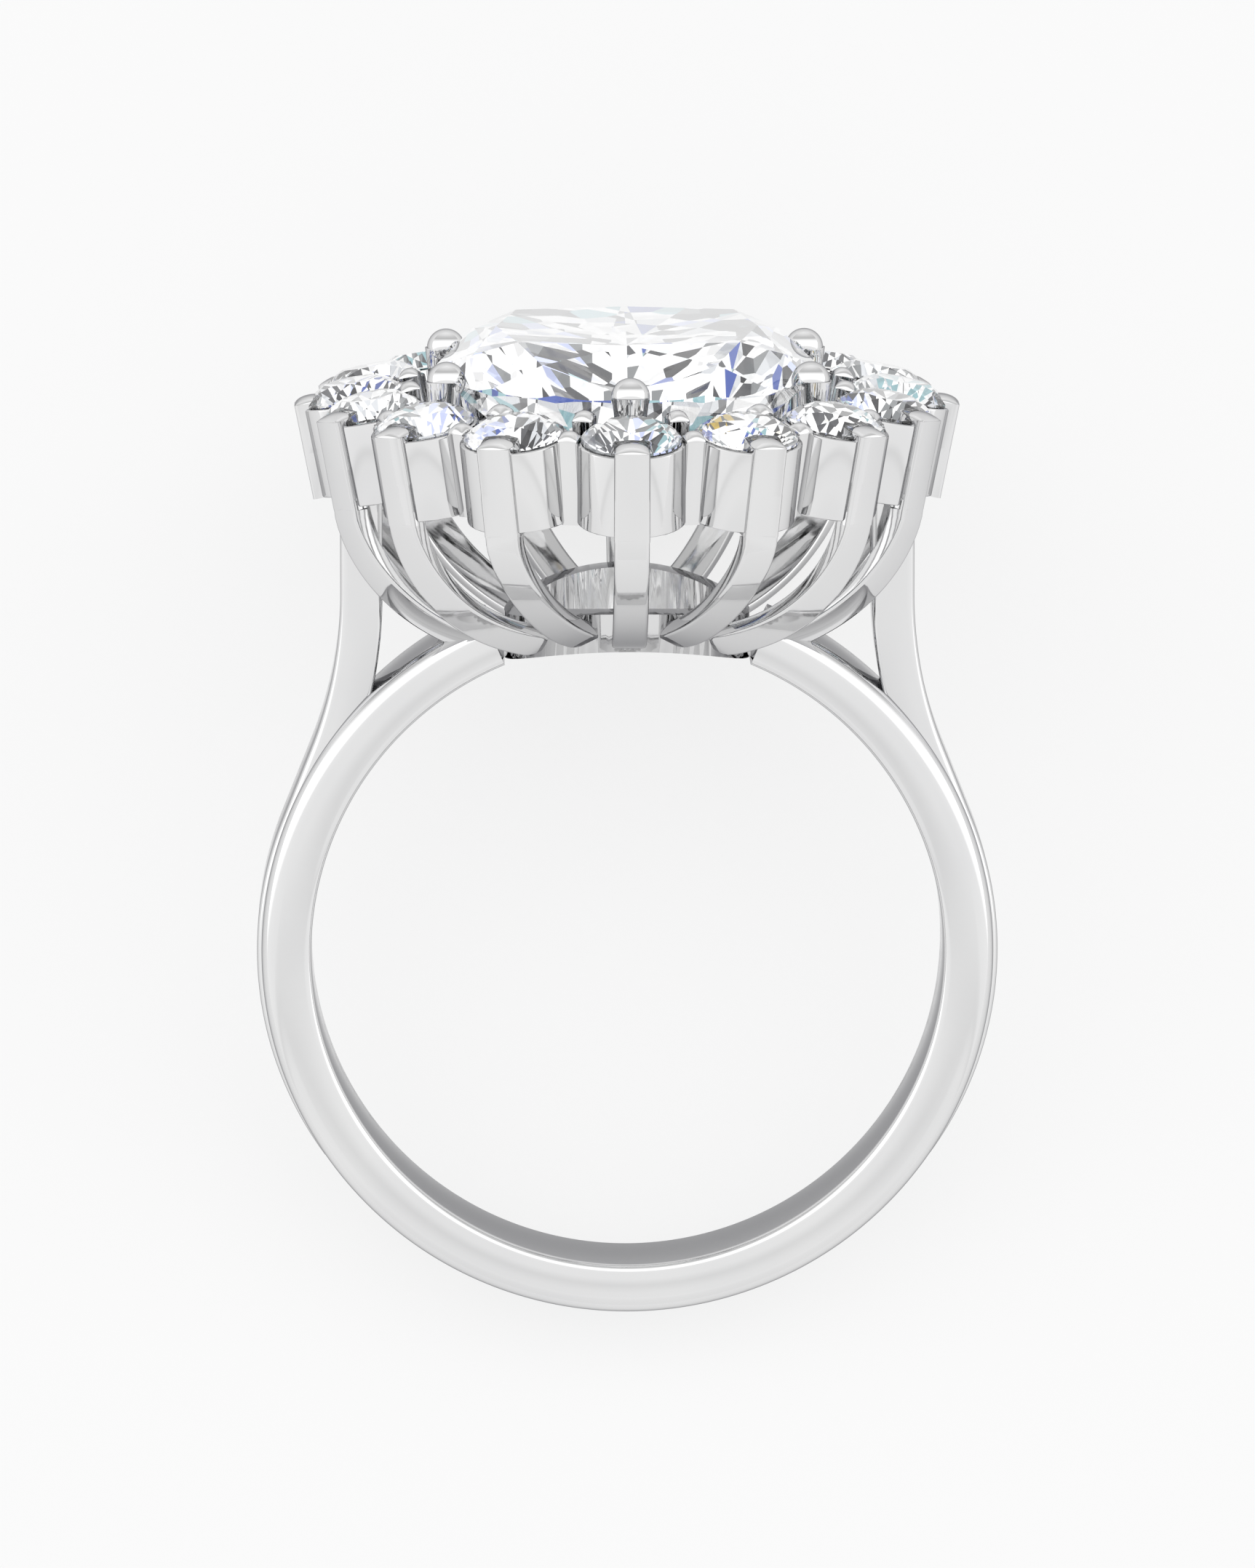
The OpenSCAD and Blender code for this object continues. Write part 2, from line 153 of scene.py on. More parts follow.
# The claws of the centre stone, and the gaps between cups where one replaces an inner prong.
CLAW_D = 1.0
CLAW_STEM_D = 0.8
CLAW_Z = 15.3
CLAW_FEET = [(0, 6.85), (4.7, 3.5), (4.7, -3.5), (0, -6.85), (-4.7, -3.5), (-4.7, 3.5)]
CLAW_GAPS = [2, 5, 10, 13]
CLAW_SPREAD = 1.015
CLAW_NECK = 0.6
CLAW_NECK_R = 0.45
CLAW_UNDER_BEAD = 0.96


# Where the halo stones stand: equal steps along their oval, counted from the front.

def on_halo(t):
    return Vector((HALO_X * sin(t), -HALO_Y * cos(t)))


def halo_angles():
    steps = 2880
    run = [0.0]
    for i in range(steps):
        a, b = on_halo(2 * pi * i / steps), on_halo(2 * pi * (i + 1) / steps)
        run.append(run[-1] + (b - a).length)
    angles = []
    for half in range(2 * HALO_COUNT):
        goal = run[-1] * half / (2 * HALO_COUNT)
        i = next(n for n in range(steps) if run[n + 1] >= goal)
        angles.append(2 * pi * (i + (goal - run[i]) / (run[i + 1] - run[i])) / steps)
    return angles


HALO_ANGLES = halo_angles()


def halo_angle(k):
    return HALO_ANGLES[int(round(2 * k)) % (2 * HALO_COUNT)]


def halo_turn(k):
    t = halo_angle(k)
    return atan2(-cos(t) / HALO_Y, sin(t) / HALO_X)


def at_halo(k):
    """The place of halo stone k: X outwards, Z along its axis, origin at its girdle."""
    point = on_halo(halo_angle(k))
    return (
        Matrix.Translation((point.x, point.y, HALO_Z))
        @ Matrix.Rotation(halo_turn(k), 4, "Z")
        @ Matrix.Rotation(HALO_TILT, 4, "Y")
    )


# Modelling helpers.

def only(*pieces):
    if bpy.context.object and bpy.context.object.mode != "OBJECT":
        bpy.ops.object.mode_set(mode="OBJECT")
    bpy.ops.object.select_all(action="DESELECT")
    for piece in pieces:
        piece.select_set(True)
    bpy.context.view_layer.objects.active = pieces[0]


def edit(piece, kind="VERT"):
    only(piece)
    bpy.ops.object.mode_set(mode="EDIT")
    bpy.ops.mesh.select_mode(type=kind)


def done():
    bpy.ops.object.mode_set(mode="OBJECT")
    return bpy.context.object


def pick(piece, test, kind="VERT"):
    """Selects the vertices, edges or faces whose middle passes the test."""
    bpy.ops.mesh.select_mode(type=kind)
    bpy.ops.mesh.select_all(action="DESELECT")
    mesh = bmesh.from_edit_mesh(piece.data)
    if kind == "VERT":
        for v in mesh.verts:
            v.select_set(test(v.co))
    elif kind == "EDGE":
        for e in mesh.edges:
            e.select_set(test((e.verts[0].co + e.verts[1].co) / 2))
    else:
        for f in mesh.faces:
            f.select_set(test(f.calc_center_median(), f.normal))
    mesh.select_flush_mode()
    bmesh.update_edit_mesh(piece.data)


def move(x=0, y=0, z=0):
    bpy.ops.transform.translate(value=(x, y, z))


def extrude(x=0, y=0, z=0):
    bpy.ops.mesh.extrude_region_move(TRANSFORM_OT_translate={"value": (x, y, z)})


def resize(x, y, z, centre=(0, 0, 0)):
    bpy.ops.transform.resize(value=(x, y, z), center_override=centre)


def turn(angle, axis, centre=(0, 0, 0)):
    bpy.ops.transform.rotate(value=-angle, orient_axis=axis, center_override=centre)


def tidy(gap=0.0005):
    bpy.ops.mesh.select_mode(type="VERT")
    bpy.ops.mesh.select_all(action="SELECT")
    bpy.ops.mesh.remove_doubles(threshold=gap)
    bpy.ops.mesh.normals_make_consistent(inside=False)


def apply_place(piece):
    only(piece)
    bpy.ops.object.transform_apply(location=True, rotation=True, scale=True)
    return piece


def place(piece, matrix):
    piece.matrix_world = matrix @ piece.matrix_world
    return apply_place(piece)


def copy_to(piece, matrix):
    other = piece.copy()
    other.data = piece.data.copy()
    bpy.context.scene.collection.objects.link(other)
    return place(other, matrix)


def modify(piece, kind, **values):
    only(piece)
    modifier = piece.modifiers.new(kind.title(), kind)
    for name, value in values.items():
        setattr(modifier, name, value)
    bpy.ops.object.modifier_apply(modifier=modifier.name)
    return piece


def cut(piece, tool, how="DIFFERENCE"):
    modify(piece, "BOOLEAN", object=tool, operation=how, solver="EXACT")
    bpy.data.objects.remove(tool)
    return piece


def join(name, pieces):
    only(*pieces)
    if len(pieces) > 1:
        bpy.ops.object.join()
    piece = bpy.context.object
    piece.name = name
    piece.data.name = name
    return piece


def smooth(piece, angle=32):
    only(piece)
    bpy.ops.object.shade_smooth_by_angle(angle=radians(angle))
    return piece


def section(thick, width, round_in, round_out, segments=6):
    """A level plate with rounded corners, thick along X and wide along Y, about the origin."""
    bpy.ops.mesh.primitive_plane_add(size=1)
    plate = bpy.context.object
    plate.scale = (thick, width, 1)
    apply_place(plate)
    edit(plate)
    pick(plate, lambda p: p.x < 0)
    bpy.ops.mesh.bevel(offset=round_in, segments=segments, affect="VERTICES")
    pick(plate, lambda p: p.x > thick / 2 - 0.0001)
    bpy.ops.mesh.bevel(offset=round_out, segments=segments, affect="VERTICES")
    return done()


def rod(radius):
    """A plain rod along Y, used to cut the base ring."""
    bpy.ops.mesh.primitive_cylinder_add(
        vertices=192, radius=radius, depth=ROD_LENGTH, rotation=(pi / 2, 0, 0)
    )
    return apply_place(bpy.context.object)


# The shank.

def make_band():
    """The band: its section is spun from one side of the base ring round to the other."""
    band = section(BAND_THICK, BAND_WIDTH, BAND_INNER_ROUND, BAND_OUTER_ROUND)
    edit(band, "FACE")
    bpy.ops.mesh.select_all(action="SELECT")
    move(x=FINGER_R + BAND_THICK / 2)
    turn(BAND_END - pi / 2, "Y")
    bpy.ops.mesh.spin(
        steps=BAND_STEPS, angle=-2 * (pi - BAND_END), center=(0, 0, 0), axis=(0, 1, 0)
    )
    tidy()
    return smooth(done())


def make_arm():
    """The right arm: its section is spun up the side, drawn along the slope and spun upright."""
    arm = section(ARM_THICK, ARM_WIDTH, ARM_INNER_ROUND, ARM_OUTER_ROUND)
    edit(arm, "FACE")
    bpy.ops.mesh.select_all(action="SELECT")
    side_middle = (SIDE_X - SIDE_R, 0, 0)
    move(x=SIDE_X - ARM_THICK / 2)
    turn(SIDE_START, "Y", side_middle)
    bpy.ops.mesh.spin(
        steps=SIDE_STEPS, angle=SIDE_START + ARM_LEAN, center=side_middle, axis=(0, 1, 0)
    )
    foot = Vector((side_middle[0] + SIDE_R * cos(ARM_LEAN), 0, SIDE_R * sin(ARM_LEAN)))
    corner_run = (foot.x - ARM_X) / sin(ARM_LEAN)
    bend_tangent = SHOULDER_R * sin(ARM_LEAN / 2) / cos(ARM_LEAN / 2)
    straight = corner_run - bend_tangent
    shoulder_z = foot.z + corner_run * cos(ARM_LEAN) + bend_tangent
    for _ in range(SLOPE_STEPS):
        extrude(
            x=-straight * sin(ARM_LEAN) / SLOPE_STEPS, z=straight * cos(ARM_LEAN) / SLOPE_STEPS
        )
    bpy.ops.mesh.spin(
        steps=SHOULDER_STEPS, angle=-ARM_LEAN, center=(ARM_X + SHOULDER_R, 0, shoulder_z),
        axis=(0, 1, 0)
    )
    extrude(z=HALO_Z - SIDE_CUP_DEPTH + ARM_INTO_CUP - shoulder_z)
    tidy()
    return smooth(done())


# The head.

def base_half_y(z):
    """Half width along the finger of the base ring, which flares towards the head."""
    return BASE_Y + BASE_FLARE * (z - FINGER_R)


def make_base_ring():
    """An oval tube, flared along the finger, cut below by the finger hole and arched above."""
    bpy.ops.mesh.primitive_circle_add(vertices=128, radius=1, location=(0, 0, BASE_LOW))
    tube = bpy.context.object
    tube.scale = (BASE_X, base_half_y(BASE_LOW), 1)
    apply_place(tube)
    edit(tube, "EDGE")
    bpy.ops.mesh.select_all(action="SELECT")
    extrude(z=BASE_HIGH - BASE_LOW)
    resize(1, base_half_y(BASE_HIGH) / base_half_y(BASE_LOW), 1, (0, 0, BASE_HIGH))
    tidy()
    done()
    modify(tube, "SOLIDIFY", thickness=BASE_WALL, offset=1)
    cut(tube, rod(FINGER_R + SOLDER_GAP))
    cut(tube, rod(BASE_TOP), "INTERSECT")
    modify(
        tube, "BEVEL", width=BASE_ROUND, segments=4, limit_method="ANGLE",
        angle_limit=radians(40), harden_normals=False
    )
    return smooth(tube)


def quarter(k):
    """Which of the five prongs from front to side prong k repeats, and its signs in X and Y."""
    back = HALO_COUNT // 2
    right, left = SIDE_STONES
    kind = min(k, HALO_COUNT - k, abs(back - k))
    return kind, (1 if k <= back else -1), (-1 if k <= right or k >= left else 1)


def at_prong(k):
    """The place of prong k: X outwards through its front, origin on the axis of its stone."""
    kind, to_x, to_y = quarter(k)
    way = atan2(to_y * cos(PRONG_TURN[kind]), to_x * sin(PRONG_TURN[kind]))
    return at_halo(k) @ Matrix.Rotation(way - halo_turn(k), 4, "Z")


def rib_stations(kind, top_z):
    """Places down this kind of rib, in its own plane: spot, lean, roll, thickness and width."""
    length, foot_z, top_reach, lean, foot_reach, slope, roll, tail = RIBS[kind]
    start, foot = Vector((length, top_z)), Vector((0, foot_z))
    inward = Vector((-cos(slope), -sin(slope)))
    above = start - top_reach * Vector((sin(lean), cos(lean)))
    below = foot - foot_reach * inward
    line = []
    for i in range(BEND_POINTS + 1):
        t = i / BEND_POINTS
        u = 1 - t
        line.append(
            u ** 3 * start + 3 * u * u * t * above + 3 * u * t * t * below + t ** 3 * foot
        )
    line += [foot + inward * tail * i / TAIL_POINTS for i in range(1, TAIL_POINTS + 1)]
    run = [0.0]
    for a, b in zip(line, line[1:]):
        run.append(run[-1] + (b - a).length)
    marks = [(run[-1] - RIB_NOSE) * i / RIB_STEPS for i in range(RIB_STEPS + 1)]
    marks += [run[-1] - RIB_NOSE * (1 - sin(angle)) for angle in NOSE_ANGLES]
    stations = []
    for mark in marks:
        i = min(next(n for n in range(len(line)) if run[n] >= mark - 1e-9), len(line) - 2)
        way = (line[i + 1] - line[max(i - 1, 0)]).normalized()
        share = min(1, i / BEND_POINTS)
        past = max(0, (mark - run[-1] + RIB_NOSE) / RIB_NOSE)
        width = sqrt(1 - min(past, 0.999) ** 2)
        thick = RIB_TOP_T + (RIB_FOOT_T - RIB_TOP_T) * share
        thick *= NOSE_THIN + (1 - NOSE_THIN) * width
        spot = line[i] - thick / 2 * Vector((-way.y, way.x))
        rolled = roll * share * share * (3 - 2 * share)
        stations.append(
            (Vector((spot.x, 0, spot.y)), atan2(-way.x, -way.y), rolled, thick, width)
        )
    return stations


def make_rib(kind):
    """A rib at the right of the front: its section is extruded down a bend and ends in a nose."""
    way = PRONG_TURN[kind] - pi / 2
    top = at_prong(kind) @ Vector((PRONG_FRONT[kind], 0, -SEAM_DEPTH))
    stations = rib_stations(kind, top.z)
    spot, lean, roll, thick, width = stations[0]
    rib = section(thick, RIB_W, RIB_INNER_ROUND, RIB_OUTER_ROUND, segments=5)
    edit(rib, "FACE")
    bpy.ops.mesh.select_all(action="SELECT")
    move(*spot)
    turn(lean, "Y", spot)
    for next_spot, next_lean, next_roll, next_thick, next_width in stations[1:]:
        extrude(*(next_spot - spot))
        turn(-lean, "Y", next_spot)
        turn(roll, "Z", next_spot)
        resize(next_thick / thick, next_width / width, 1, next_spot)
        turn(-next_roll, "Z", next_spot)
        turn(next_lean, "Y", next_spot)
        spot, lean, roll = next_spot, next_lean, next_roll
        thick, width = next_thick, next_width
    tidy()
    foot = top - RIBS[kind][0] * Vector((cos(way), sin(way), 0))
    return place(done(), Matrix.Translation((foot.x, foot.y, 0)) @ Matrix.Rotation(way, 4, "Z"))


def make_bar(thick, width, low, high):
    """A prong below its bead, about the Z axis."""
    bar = section(thick, width, PRONG_ROUND, PRONG_ROUND, segments=4)
    edit(bar, "FACE")
    bpy.ops.mesh.select_all(action="SELECT")
    move(z=low)
    extrude(z=high - low)
    tidy()
    return done()


def make_bead(thick, width, middle, top):
    """A rounded tip: a block whose upright edges stay a little square when it is rounded off."""
    bpy.ops.mesh.primitive_cube_add(size=1)
    bead = bpy.context.object
    edit(bead, "EDGE")
    pick(bead, lambda p: abs(p.z) < 0.01, "EDGE")
    bpy.ops.transform.edge_crease(value=BEAD_SQUARENESS)
    done()
    modify(bead, "SUBSURF", levels=4, render_levels=4)
    goals = (thick, width, 2 * (top - middle))
    bead.scale = [goal / size for goal, size in zip(goals, bead.dimensions)]
    bead.location = (0, 0, middle)
    return apply_place(bead)


def make_short_prong(depth):
    """A square prong with its bead."""
    bar = make_bar(SHORT_W, SHORT_W, -depth, SHORT_TOP)
    bead = make_bead(SHORT_W, SHORT_W, SHORT_TOP - SHORT_BEAD_SUNK, SHORT_BEAD_TOP)
    return smooth(join("prong", [bar, bead]))


def make_long_prong(depth):
    """A prong with its bead; it is thinner below, where it leaves the cup and meets its rib."""
    outer = PRONG_T / 2
    bar = section(LOWER_PRONG_T, PRONG_W, PRONG_ROUND, PRONG_ROUND, segments=4)
    edit(bar, "FACE")
    bpy.ops.mesh.select_all(action="SELECT")
    move(x=outer - LOWER_PRONG_T / 2, z=-depth)
    extrude(z=depth + LOWER_PRONG_Z)
    extrude(z=LOWER_PRONG_STEP)
    resize(PRONG_T / LOWER_PRONG_T, 1, 1, (outer, 0, 0))
    extrude(z=PRONG_TOP - LOWER_PRONG_Z - LOWER_PRONG_STEP)
    tidy()
    done()
    bead = make_bead(PRONG_T, PRONG_W, PRONG_TOP - BEAD_SUNK, BEAD_TOP)
    return smooth(join("prong", [bar, bead]))


def make_cup(depth):
    """A cup: a drum whose top is sunk to a cone for the stone and a hole that runs out below."""
    bpy.ops.mesh.primitive_cylinder_add(
        vertices=56, radius=CUP_R, depth=depth + CUP_RIM_Z,
        location=(0, 0, (CUP_RIM_Z - depth) / 2)
    )
    cup = apply_place(bpy.context.object)
    edit(cup, "FACE")
    pick(cup, lambda p, n: n.z > 0.9, "FACE")
    extrude()
    resize(CUP_SEAT_R / CUP_R, CUP_SEAT_R / CUP_R, 1)
    extrude(z=CUP_SEAT_Z - CUP_RIM_Z)
    resize(CUP_HOLE_R / CUP_SEAT_R, CUP_HOLE_R / CUP_SEAT_R, 1)
    extrude(z=-depth - CUP_SEAT_Z)
    bpy.ops.mesh.delete(type="FACE")
    pick(cup, lambda p, n: n.z < -0.9 and p.z < 0.01 - depth, "FACE")
    extrude()
    resize(CUP_HOLE_R / CUP_R, CUP_HOLE_R / CUP_R, 1)
    bpy.ops.mesh.delete(type="FACE")
    tidy()

    def on_outer_rim(p):
        return hypot(p.x, p.y) > CUP_R - 0.02 and abs(abs(p.z + depth / 2) - depth / 2) < 0.2

    pick(cup, on_outer_rim, "EDGE")
    bpy.ops.mesh.bevel(offset=CUP_ROUND, segments=3)
    return smooth(done(), 25)


def make_rail():
    """The rail: an oval hoop that joins the cups from inside and carries the claws."""
    half = RAIL_SIZE / 2
    bpy.ops.mesh.primitive_circle_add(vertices=160, radius=1, location=(0, 0, RAIL_Z - half))
    rail = bpy.context.object
    rail.scale = (HALO_X - RAIL_INSET + half, HALO_Y - RAIL_INSET + half, 1)
    apply_place(rail)
    edit(rail, "EDGE")
    bpy.ops.mesh.select_all(action="SELECT")
    extrude(z=RAIL_SIZE)
    tidy()
    done()
    modify(rail, "SOLIDIFY", thickness=RAIL_SIZE, offset=-1)
    modify(
        rail, "BEVEL", width=RAIL_ROUND, segments=3, limit_method="ANGLE", angle_limit=radians(50)
    )
    return smooth(rail)


def make_claw(foot):
    """A claw: a round stem that rises from the rail, with a bead over the edge of the stone."""
    stem_r = CLAW_STEM_D / 2
    bpy.ops.mesh.primitive_cylinder_add(
        vertices=32, radius=stem_r, depth=CLAW_Z - RAIL_Z, location=(0, 0, (CLAW_Z + RAIL_Z) / 2)
    )
    stem = apply_place(bpy.context.object)
    edit(stem, "FACE")
    pick(stem, lambda p, n: n.z > 0.9, "FACE")
    top_growth = CLAW_D / CLAW_STEM_D * CLAW_UNDER_BEAD
    resize(top_growth, top_growth, 1, (0, 0, CLAW_Z))
    bpy.ops.mesh.select_all(action="SELECT")
    neck = (0, 0, CLAW_Z - CLAW_NECK)
    bpy.ops.mesh.bisect(plane_co=neck, plane_no=(0, 0, 1))
    pick(stem, lambda p: abs(p.z - neck[2]) < 0.01)
    resize(stem_r / CLAW_NECK_R, stem_r / CLAW_NECK_R, 1, neck)
    done()
    place(stem, Matrix.Translation((foot[0] * CLAW_SPREAD, foot[1] * CLAW_SPREAD, 0)))
    bpy.ops.mesh.primitive_uv_sphere_add(
        segments=36, ring_count=20, radius=CLAW_D / 2, location=(foot[0], foot[1], CLAW_Z)
    )
    return smooth(join("claw", [stem, apply_place(bpy.context.object)]))


# Finishes.

def new_material(name):
    material = bpy.data.materials.new(name)
    material.use_nodes = True
    nodes, links = material.node_tree.nodes, material.node_tree.links
    return material, nodes, links, nodes["Principled BSDF"]


GOLD_SHADES = [(0.3, (0.725, 0.725, 0.73, 1)), (0.7, (0.765, 0.765, 0.765, 1))]
# Painted shade: a dark tint for the reflection at grazing angles, so that edges and roundings come
# out darker.
GRAZING_PAINTED_SHADE = (0.4, 0.4, 0.41, 1)
SHADE_SCALE = 180
MARK_SCALE = 2600
POLISH = (0.035, 0.085)


def polished_white_gold():
    """Mirror polish with the faint waviness and hairline wheel marks that polishing leaves.
    A dark tint darkens its reflection at grazing angles: painted shade at the edges.
    """
    material, nodes, links, shader = new_material("polished_white_gold")
    shader.inputs["Metallic"].default_value = 1
    # Painted shade: the reflection is darkened at grazing angles.
    shader.inputs["Specular Tint"].default_value = GRAZING_PAINTED_SHADE
    coords = nodes.new("ShaderNodeTexCoord")
    tone = nodes.new("ShaderNodeTexNoise")
    tone.inputs["Scale"].default_value = SHADE_SCALE
    tone.inputs["Detail"].default_value = 3
    links.new(coords.outputs["Object"], tone.inputs["Vector"])
    shades = nodes.new("ShaderNodeValToRGB")
    for point, (spot, shade) in zip(shades.color_ramp.elements, GOLD_SHADES):
        point.position, point.color = spot, shade
    links.new(tone.outputs["Fac"], shades.inputs["Fac"])
    links.new(shades.outputs["Color"], shader.inputs["Base Color"])
    marks = nodes.new("ShaderNodeTexNoise")
    marks.inputs["Scale"].default_value = MARK_SCALE
    marks.inputs["Detail"].default_value = 4
    links.new(coords.outputs["Object"], marks.inputs["Vector"])
    polish = nodes.new("ShaderNodeMapRange")
    polish.inputs["From Min"].default_value = 0.35
    polish.inputs["From Max"].default_value = 0.75
    polish.inputs["To Min"].default_value, polish.inputs["To Max"].default_value = POLISH
    links.new(marks.outputs["Fac"], polish.inputs["Value"])
    links.new(polish.outputs["Result"], shader.inputs["Roughness"])
    ripple = nodes.new("ShaderNodeBump")
    ripple.inputs["Strength"].default_value = 0.03
    ripple.inputs["Distance"].default_value = 0.00001
    links.new(marks.outputs["Fac"], ripple.inputs["Height"])
    links.new(ripple.outputs["Normal"], shader.inputs["Normal"])
    return material


# The stones' painted flashes, which stand in for the light a cut stone sends back: where each
#  painted tone starts on a scale from 0 to 1, how strongly a shard mirrors its tone and gives it
#  off as a painted glow, how close two facets' directions count as one, and how steeply a facet
#  has to rise, seen from inside, to lie below the girdle.
PAINTED_FLASHES = [
    (0, (1, 1, 1, 1)), (0.46, (0.68, 0.7, 0.73, 1)), (0.54, (0.24, 0.25, 0.26, 1)),
    (0.64, (0.07, 0.072, 0.08, 1)), (0.76, (0.01, 0.01, 0.014, 1)), (0.9, (0.06, 0.11, 0.42, 1)),
    (0.93, (0.3, 0.5, 0.54, 1)), (0.96, (0.6, 0.66, 0.95, 1)), (0.992, (0.6, 0.42, 0.06, 1)),
]
MIRROR_SHARE = 0.25
PAINTED_GLOW = 0.87
SAME_DIRECTION = 0.013
BELOW_GIRDLE = 0.25
STONE_IOR = 1.7
STONE_GLOSS_IOR = 1.3


def diamond(name, shard_size, tilt):
    """Clear stone. From inside, the facets below the girdle are broken into shards with painted
    flashes of white, grey, black and colour, which stand in for the light that comes back there.
    Each shard's painted tone is mirrored in part and given off in part as a painted glow."""
    material, nodes, links, shader = new_material(name)
    shader.inputs["Transmission Weight"].default_value = 1
    shader.inputs["IOR"].default_value = STONE_IOR
    shader.inputs["Roughness"].default_value = 0
    shader.inputs["Coat Weight"].default_value = 1
    shader.inputs["Coat Roughness"].default_value = 0
    shader.inputs["Coat IOR"].default_value = STONE_GLOSS_IOR
    facing = nodes.new("ShaderNodeNewGeometry")
    coords = nodes.new("ShaderNodeTexCoord")

    def maths(operation, first, second=0):
        node = nodes.new("ShaderNodeMath")
        node.operation = operation
        links.new(first, node.inputs[0])
        if isinstance(second, (int, float)):
            node.inputs[1].default_value = second
        else:
            links.new(second, node.inputs[1])
        return node.outputs["Value"]

    def vectors(operation, first, fixed):
        node = nodes.new("ShaderNodeVectorMath")
        node.operation = operation
        links.new(first, node.inputs[0])
        node.inputs[1].default_value = fixed
        return node

    shards = nodes.new("ShaderNodeTexVoronoi")
    shards.inputs["Scale"].default_value = 1 / (shard_size * MILLIMETRE)
    links.new(coords.outputs["Object"], shards.inputs["Vector"])
    lots = nodes.new("ShaderNodeTexWhiteNoise")
    lots.noise_dimensions = "3D"
    snapped = vectors("SNAP", facing.outputs["True Normal"], (SAME_DIRECTION,) * 3)
    links.new(snapped.outputs["Vector"], lots.inputs["Vector"])
    split = nodes.new("ShaderNodeSeparateXYZ")
    links.new(shards.outputs["Color"], split.inputs["Vector"])
    drawn = maths("ADD", lots.outputs["Value"], split.outputs["X"])
    drawn = maths("FRACT", drawn)
    # Each shard draws a painted tone, white, grey, black or colour, in place of the light a cut
    # stone sends back.
    ramp = nodes.new("ShaderNodeValToRGB")
    ramp.color_ramp.interpolation = "CONSTANT"
    points = ramp.color_ramp.elements
    points[0].color = PAINTED_FLASHES[0][1]
    points[1].position, points[1].color = PAINTED_FLASHES[1]
    for spot, colour in PAINTED_FLASHES[2:]:
        points.new(spot).color = colour
    links.new(drawn, ramp.inputs["Fac"])

    ring_up = (0, sin(LIE_TILT), cos(LIE_TILT))
    rise = vectors("DOT_PRODUCT", facing.outputs["True Normal"], ring_up)
    below = maths("GREATER_THAN", rise.outputs["Value"], BELOW_GIRDLE)
    inside = maths("MULTIPLY", below, facing.outputs["Backfacing"])
    mix = nodes.new("ShaderNodeMix")
    mix.data_type = "RGBA"
    mix.inputs["A"].default_value = (1, 1, 1, 1)
    links.new(inside, mix.inputs["Factor"])
    # Below the girdle, seen from inside, a shard mirrors a dimmed copy of its painted tone and
    # gives it off as a painted glow.
    dimmed = vectors("MULTIPLY", ramp.outputs["Color"], (MIRROR_SHARE,) * 3)
    links.new(dimmed.outputs["Vector"], mix.inputs["B"])
    links.new(ramp.outputs["Color"], shader.inputs["Emission Color"])
    links.new(maths("MULTIPLY", inside, PAINTED_GLOW), shader.inputs["Emission Strength"])
    links.new(mix.outputs["Result"], shader.inputs["Base Color"])
    links.new(inside, shader.inputs["Metallic"])

    lean = vectors("SUBTRACT", shards.outputs["Color"], (0.5, 0.5, 0.5))
    leant = nodes.new("ShaderNodeVectorMath")
    leant.operation = "SCALE"
    links.new(lean.outputs["Vector"], leant.inputs["Vector"])
    links.new(maths("MULTIPLY", inside, tilt), leant.inputs["Scale"])
    normal = nodes.new("ShaderNodeVectorMath")
    normal.operation = "ADD"
    links.new(facing.outputs["True Normal"], normal.inputs[0])
    links.new(leant.outputs["Vector"], normal.inputs[1])
    unit = nodes.new("ShaderNodeVectorMath")
    unit.operation = "NORMALIZE"
    links.new(normal.outputs["Vector"], unit.inputs[0])
    links.new(unit.outputs["Vector"], shader.inputs["Normal"])
    return material


FLOOR_SHADES = [(0.20, 0.20, 0.20, 1), (0.21, 0.21, 0.21, 1)]
FLOOR_GLOW = 0.72


def pale_floor():
    """A plain pale table that gives off a little light, so that it comes out nearly white."""
    material, nodes, links, shader = new_material("pale_floor")
    shader.inputs["Roughness"].default_value = 0.9
    shader.inputs["Specular IOR Level"].default_value = 0.1
    shader.inputs["Emission Color"].default_value = (1, 1, 1, 1)
    shader.inputs["Emission Strength"].default_value = FLOOR_GLOW
    coords = nodes.new("ShaderNodeTexCoord")
    tone = nodes.new("ShaderNodeTexNoise")
    tone.inputs["Scale"].default_value = 30
    links.new(coords.outputs["Object"], tone.inputs["Vector"])
    shades = nodes.new("ShaderNodeValToRGB")
    for point, shade in zip(shades.color_ramp.elements, FLOOR_SHADES):
        point.color = shade
    links.new(tone.outputs["Fac"], shades.inputs["Fac"])
    links.new(shades.outputs["Color"], shader.inputs["Base Color"])
    return material


# Assembly.

metal = polished_white_gold()


def lay_down(piece, node, material=metal):
    place(piece, LAY)
    piece.data.materials.clear()
    piece.data.materials.append(material)
    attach(piece, "root")
    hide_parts(node)
    return piece


lay_down(join("band", [make_band()]), "shank")
right_arm = make_arm()
left_arm = copy_to(right_arm, Matrix.Rotation(pi, 4, "Z"))
lay_down(join("cathedral_arms", [right_arm, left_arm]), "shank")

lay_down(join("base_ring", [make_base_ring()]), "setting")
lay_down(join("inner_rail", [make_rail()]), "setting")

ribs = []
for kind in range(len(RIBS)):
    rib = make_rib(kind)
    for to_x in ((1, -1) if kind else (1,)):
        for to_y in (1, -1):
            ribs.append(copy_to(rib, Matrix.Diagonal((to_x, to_y, 1, 1))))
    bpy.data.objects.remove(rib)
ribs = join("ribs", ribs)
edit(ribs)
tidy(0.00001)
done()
lay_down(smooth(ribs), "setting")

plain_cup, side_cup = make_cup(CUP_DEPTH), make_cup(SIDE_CUP_DEPTH)
cups = []
for k in range(HALO_COUNT):
    cups.append(copy_to(side_cup if k in SIDE_STONES else plain_cup, at_halo(k)))
lay_down(join("cups", cups), "setting")

